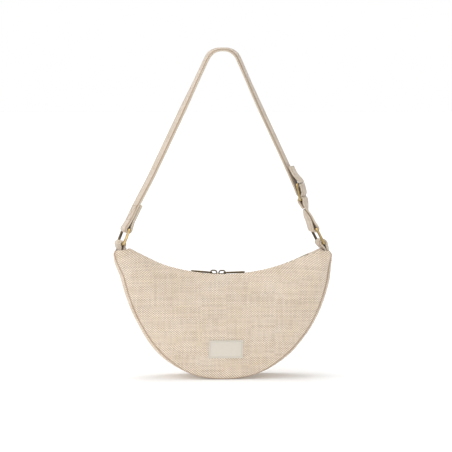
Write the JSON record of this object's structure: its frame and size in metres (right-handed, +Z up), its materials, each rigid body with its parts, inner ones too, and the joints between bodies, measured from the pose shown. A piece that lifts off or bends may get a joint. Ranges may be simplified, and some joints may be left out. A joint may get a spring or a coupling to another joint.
{
  "type": "half-moon shoulder bag",
  "caption": "Half-moon linen shoulder bag hung by its strap, with a curved top zip, metal rings, pull tabs and a strap adjuster.",
  "frame": {"origin": "middle of the underside of the strap's crown, where the bag hangs", "axes": "+Z up, the front panel and its label face -Y, +X to the viewer's right with the adjuster"},
  "size_m": [0.3406, 0.0846, 0.5182],
  "materials": {
    "linen": "natural twill linen, dry and slubby",
    "webbing": "folded and stitched linen strap",
    "lining": "plain cotton lining",
    "zip_tape": "dark olive zip tape",
    "zip_teeth": "moulded zip teeth",
    "aged_brass": "antique brass plating, worn bright at the edges",
    "label": "woven cotton label, bare"
  },
  "bodies": {
    "strap": {"strap": "webbing", "short_strap": "webbing", "adjuster": "aged_brass"},
    "tail": {"strap_tail": "webbing"},
    "left_ring": {"left_ring": "aged_brass"},
    "right_ring": {"right_ring": "aged_brass"},
    "bag": {"front_panel": "linen", "back_panel": "linen", "gusset": "linen", "lining": "lining", "inner_pocket": "lining", "woven_label": "label", "front_zip_tape": "zip_tape", "back_zip_tape": "zip_tape", "front_zip_teeth": "zip_teeth", "back_zip_teeth": "zip_teeth", "left_zip_end": "linen", "right_zip_end": "linen", "left_tab": "webbing", "right_tab": "webbing"},
    "left_slider": {"left_slider": "aged_brass"},
    "right_slider": {"right_slider": "aged_brass"},
    "left_pull": {"left_pull": "aged_brass"},
    "right_pull": {"right_pull": "aged_brass"}
  },
  "joints": [
    {"name": "left_ring_swing", "type": "hinge", "parent": "strap", "child": "left_ring", "pos_m": [-0.1498, 0, -0.2807], "axis": [0, 1, 0], "range_deg": [-12, 12]},
    {"name": "bag_swing", "type": "hinge", "parent": "left_ring", "child": "bag", "pos_m": [-0.1618, 0, -0.304], "axis": [0, 1, 0], "range_deg": [-11.5, 11.5]},
    {"name": "right_ring_swing", "type": "hinge", "parent": "strap", "child": "right_ring", "pos_m": [0.1442, 0, -0.2807], "axis": [0, 1, 0], "range_deg": [-12, 12]},
    {"name": "tail_slide", "type": "slide", "parent": "strap", "child": "tail", "axis": [-0.4069, 0, 0.9135], "range_m": [0, 0.05]},
    {"name": "left_zip_slide", "type": "hinge", "parent": "bag", "child": "left_slider", "pos_m": [0, 0, -0.0525], "axis": [0, 1, 0], "range_deg": [0, 17.5], "deforming": ["front_zip_teeth", "back_zip_teeth"]},
    {"name": "right_zip_slide", "type": "hinge", "parent": "bag", "child": "right_slider", "pos_m": [0, 0, -0.0525], "axis": [0, -1, 0], "range_deg": [0, 20], "deforming": ["front_zip_teeth", "back_zip_teeth"]},
    {"name": "left_pull_lift", "type": "hinge", "parent": "left_slider", "child": "left_pull", "pos_m": [-0.016, 0, -0.35017], "axis": [0, 1, 0], "range_deg": [0, 90]},
    {"name": "right_pull_lift", "type": "hinge", "parent": "right_slider", "child": "right_pull", "pos_m": [0.00022, 0, -0.3506], "axis": [0, -1, 0], "range_deg": [0, 90]}
  ],
  "couplings": [
    {"joint": "bag_swing", "follows": "left_ring_swing", "ratio": -0.9245},
    {"joint": "right_ring_swing", "follows": "left_ring_swing", "ratio": 1}
  ]
}
